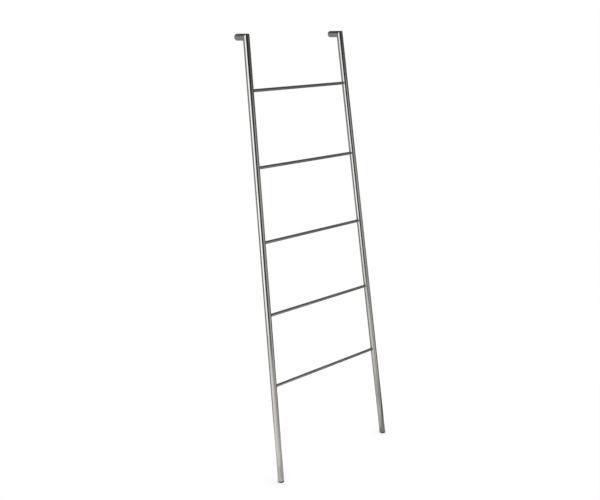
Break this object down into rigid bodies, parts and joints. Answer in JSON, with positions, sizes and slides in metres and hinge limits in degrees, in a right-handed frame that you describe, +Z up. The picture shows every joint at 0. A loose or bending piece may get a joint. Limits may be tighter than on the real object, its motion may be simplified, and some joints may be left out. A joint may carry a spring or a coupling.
{
  "type": "leaning towel rack",
  "caption": "Ladder-shaped steel towel rack with tapering round stiles and thin rungs; it leans on the wall by two level arms, on rubber feet.",
  "frame": {"origin": "on the floor, under the centre of the rack's outline seen from above", "axes": "+Z up, +Y towards the wall that the rack leans on, +X to the right of someone who faces that wall"},
  "size_m": [0.605, 0.2618, 1.7],
  "materials": {
    "tube_steel": "satin stainless steel, grain along the tube",
    "rung_steel": "satin stainless steel, grain along the rung",
    "weld_steel": "dressed weld",
    "black_rubber": "matt moulded rubber"
  },
  "bodies": {
    "root": {"left_stile": "tube_steel", "left_wall_arm": "tube_steel", "left_rung_welds": "weld_steel", "left_foot": "black_rubber", "left_wall_buffer": "black_rubber", "right_stile": "tube_steel", "right_wall_arm": "tube_steel", "right_rung_welds": "weld_steel", "right_foot": "black_rubber", "right_wall_buffer": "black_rubber", "rung_1": "rung_steel", "rung_2": "rung_steel", "rung_3": "rung_steel", "rung_4": "rung_steel", "rung_5": "rung_steel"}
  },
  "joints": []
}
